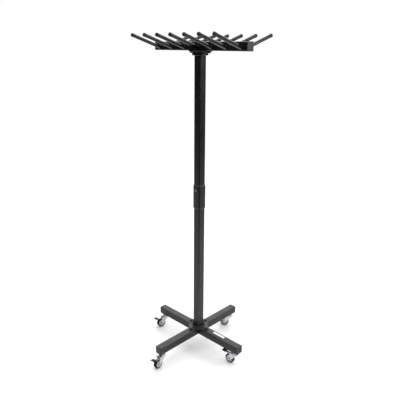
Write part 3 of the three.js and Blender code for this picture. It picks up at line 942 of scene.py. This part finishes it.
def lever_strip(name, samples, half_width, thick, rise=0.0):
    """A bent strip whose upper face follows the samples, with its edges turned down."""
    half_section = [(0, 0), (0.6, 0), (0.86, 0.4 * MM), (1, 1.6 * MM)]  # share of width, drop
    section = [(-share, drop) for share, drop in half_section[:0:-1]] + half_section
    bm = bmesh.new()
    layers = []
    for depth in (0, thick):
        grid = []
        for point, slope in samples:
            normal = Vector((slope.y, -slope.x))
            row = []
            for share, drop in section:
                at = point + normal * (rise - depth - drop)
                row.append(bm.verts.new((at.x, share * half_width, at.y)))
            grid.append(row)
        layers.append(grid)
    rows, columns = len(samples), len(section)
    for i in range(rows - 1):
        for j in range(columns - 1):
            for grid in layers:
                bm.faces.new((grid[i][j], grid[i + 1][j], grid[i + 1][j + 1], grid[i][j + 1]))

    # the strip's edge, all the way round: one side, the tip, the other side and the root
    border = [(i, 0) for i in range(rows)] + [(rows - 1, j) for j in range(1, columns)]
    border += [(i, columns - 1) for i in range(rows - 2, -1, -1)]
    border += [(0, j) for j in range(columns - 2, 0, -1)]
    for (a, b), (c, d) in zip(border, border[1:] + border[:1]):
        bm.faces.new((layers[0][a][b], layers[0][c][d], layers[1][c][d], layers[1][a][b]))
    return as_mesh(name, bm)


def add_lever(arm):
    """Brake lever: a pressed strip with a knuckle that turns on a pin with peened ends."""
    half_width, thick = 10.2 * MM, 1.6 * MM
    knuckle_radius, knuckle_half = 3.4 * MM, 10 * MM
    pin_half, pin_flat = 14 * MM, 1.9 * MM
    peen_radius, peen_from, peen_to = 2.4 * MM, 13.1 * MM, 13.4 * MM
    samples = lever_curve()
    strip = lever_strip("lever", samples, half_width, thick)
    knuckle_profile = [(knuckle_radius, knuckle_half), (PIN_RADIUS, knuckle_half)]
    knuckle = turned("knuckle", both_sides(knuckle_profile), 32)
    pin_profile = [
        (PIN_RADIUS, peen_from),
        (peen_radius, peen_to),
        (pin_flat, pin_half),
        (0, pin_half),
    ]
    pin = turned("pin", both_sides(pin_profile), 28)
    at_pin = Matrix.Translation((-PIN_BACK, 0, PIN_HEIGHT)) @ ALONG_Y
    mesh = merge(f"lever_{arm}", [strip, moved(knuckle, at_pin), moved(pin, at_pin)])
    matrix = caster_matrix(arm)
    piece = finish_piece(
        f"lever_{arm}", mesh, f"brake_{arm}", ZINC, matrix, 40, bevel=0.25 * MM
    )
    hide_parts(f"brake_lever_{arm}")
    add_foot_pad(arm, samples)


def add_foot_pad(arm, samples):
    """Plastic pad over the outer end of the lever, with five ridges across it."""
    half_width, thick, rise = 13 * MM, 2.4 * MM, 0.5 * MM
    pad_start, ridges = 17, slice(19, 28, 2)  # both count the lever's samples
    half_long, half_wide, high, lift = 10 * MM, 0.5 * MM, 0.9 * MM, 0.3 * MM
    outline = [
        (-half_long, -half_wide),
        (half_long, -half_wide),
        (half_long, half_wide),
        (-half_long, half_wide),
    ]
    parts = [lever_strip("pad", samples[pad_start:], half_width, thick, rise)]
    for point, slope in samples[ridges]:
        ridge = prism("ridge", outline, 0, high)
        across = Matrix.Rotation(math.radians(90), 4, "Z")
        tilt = Matrix.Rotation(math.atan2(slope.y, -slope.x), 4, "Y")
        place = Matrix.Translation((point.x, 0, point.y + lift))
        parts.append(moved(ridge, place @ tilt @ across))
    finish_piece(
        f"foot_pad_{arm}",
        merge(f"pad_{arm}", parts),
        f"brake_{arm}",
        PLASTIC,
        caster_matrix(arm),
        40,
        bevel=0.25 * MM,
    )


# ---- studio --------------------------------------------------------------
CAMERA_AZIMUTH = math.radians(43.87)
TOWARD_CAMERA = Vector((math.sin(CAMERA_AZIMUTH), -math.cos(CAMERA_AZIMUTH), 0))
RIGHT = Vector((math.cos(CAMERA_AZIMUTH), math.sin(CAMERA_AZIMUTH), 0))


def add_floor():
    """Pale studio floor that runs far back and stops a little way in front of the rack."""
    s = Shader("studio_floor")
    s.set(Base_Color=s.mix(s.noise(3, 2), (0.93, 0.93, 0.93), (0.95, 0.95, 0.95)), Roughness=0.7)
    front, behind, aside = 0.6, 4.5, 3.5
    corners = [
        TOWARD_CAMERA * front - RIGHT * aside,
        TOWARD_CAMERA * front + RIGHT * aside,
        TOWARD_CAMERA * -behind + RIGHT * aside,
        TOWARD_CAMERA * -behind - RIGHT * aside,
    ]
    mesh = bpy.data.meshes.new("floor")
    mesh.from_pydata(corners, [], [(0, 1, 2, 3)])
    mesh.materials.append(s.material)
    floor = bpy.data.objects.new("floor", mesh)
    scene.collection.objects.link(floor)


def smooth_range(tree, value, low, high, out_low, out_high):
    """Maps value smoothly from low..high to out_low..out_high, held at the ends."""
    node = tree.nodes.new("ShaderNodeMapRange")
    node.interpolation_type = "SMOOTHSTEP"
    node.inputs["From Min"].default_value = low
    node.inputs["From Max"].default_value = high
    node.inputs["To Min"].default_value = out_low
    node.inputs["To Max"].default_value = out_high
    tree.links.new(value, node.inputs["Value"])
    return node.outputs["Result"]


def add_world():
    """White for the camera; as a light, bright overhead and behind the rack and dim elsewhere."""
    world = bpy.data.worlds.new("studio")
    scene.world = world
    world.use_nodes = True
    tree = world.node_tree
    coords = tree.nodes.new("ShaderNodeTexCoord")
    split = tree.nodes.new("ShaderNodeSeparateXYZ")
    behind = tree.nodes.new("ShaderNodeVectorMath")
    behind.operation = "DOT_PRODUCT"
    behind.inputs[1].default_value = -TOWARD_CAMERA
    total = tree.nodes.new("ShaderNodeMath")
    total.operation = "ADD"
    sky = tree.nodes["Background"]
    sky.inputs["Color"].default_value = (1, 1, 1, 1)
    white = tree.nodes.new("ShaderNodeBackground")
    white.inputs["Color"].default_value = (1, 1, 1, 1)
    white.inputs["Strength"].default_value = 1.0
    path = tree.nodes.new("ShaderNodeLightPath")
    mix = tree.nodes.new("ShaderNodeMixShader")
    tree.links.new(coords.outputs["Generated"], split.inputs["Vector"])
    tree.links.new(coords.outputs["Generated"], behind.inputs[0])
    overhead = smooth_range(tree, split.outputs["Z"], 0.2, 0.95, 0.05, 1.3)
    backdrop = smooth_range(tree, behind.outputs["Value"], 0.35, 0.95, 0.0, 1.8)
    tree.links.new(overhead, total.inputs[0])
    tree.links.new(backdrop, total.inputs[1])
    tree.links.new(total.outputs["Value"], sky.inputs["Strength"])
    tree.links.new(path.outputs["Is Camera Ray"], mix.inputs["Fac"])
    tree.links.new(sky.outputs["Background"], mix.inputs[1])
    tree.links.new(white.outputs["Background"], mix.inputs[2])
    tree.links.new(mix.outputs["Shader"], tree.nodes["World Output"].inputs["Surface"])


def add_softbox(name, position, size, watts, aim_height):
    """A square area light, aimed at a height on the post."""
    light = bpy.data.lights.new(name, "AREA")
    light.size = size
    light.energy = watts
    lamp = bpy.data.objects.new(name, light)
    scene.collection.objects.link(lamp)
    lamp.location = position
    aim = Vector((0, 0, aim_height)) - lamp.location
    lamp.rotation_mode = "QUATERNION"
    lamp.rotation_quaternion = aim.to_track_quat("-Z", "Y")


def add_studio():
    """Floor, world and lights, shown without a film curve so that white stays white."""
    add_floor()
    add_world()
    add_softbox("key", position=(2.2, 1.6, 2.2), size=0.6, watts=30, aim_height=1.6)
    add_softbox("top", position=(0.0, 0.0, 3.6), size=2.4, watts=32, aim_height=0.0)
    scene.view_settings.view_transform = "Standard"


def add_camera():
    """Eye-height camera at the photograph's angle, aimed by azimuth, tilt and roll."""
    tilt, roll = math.radians(17.8), math.radians(0.41)
    distance, side_step, height = 2.2937, 0.0036, 1.5664
    data = bpy.data.cameras.new("camera")
    data.sensor_width = 36
    data.lens = 43.25
    camera = bpy.data.objects.new("camera", data)
    scene.collection.objects.link(camera)
    position = TOWARD_CAMERA * distance + RIGHT * side_step + Vector((0, 0, height))
    camera.matrix_world = (
        Matrix.Translation(position)
        @ Matrix.Rotation(CAMERA_AZIMUTH, 4, "Z")
        @ Matrix.Rotation(math.pi / 2 - tilt, 4, "X")
        @ Matrix.Rotation(roll, 4, "Z")
    )
    scene.camera = camera


dress_frame()
add_collar_welds()
for peg_side in PEG_SIDES:
    for peg_number in range(1, PEGS_PER_SIDE + 1):
        add_peg(peg_side, peg_number)
add_head_bolts()
add_label()
for caster_arm in ARMS:
    add_tyre(caster_arm)
    add_core(caster_arm)
    add_axle(caster_arm)
    add_fork(caster_arm)
    add_stem(caster_arm)
    add_lever(caster_arm)
add_studio()
add_camera()
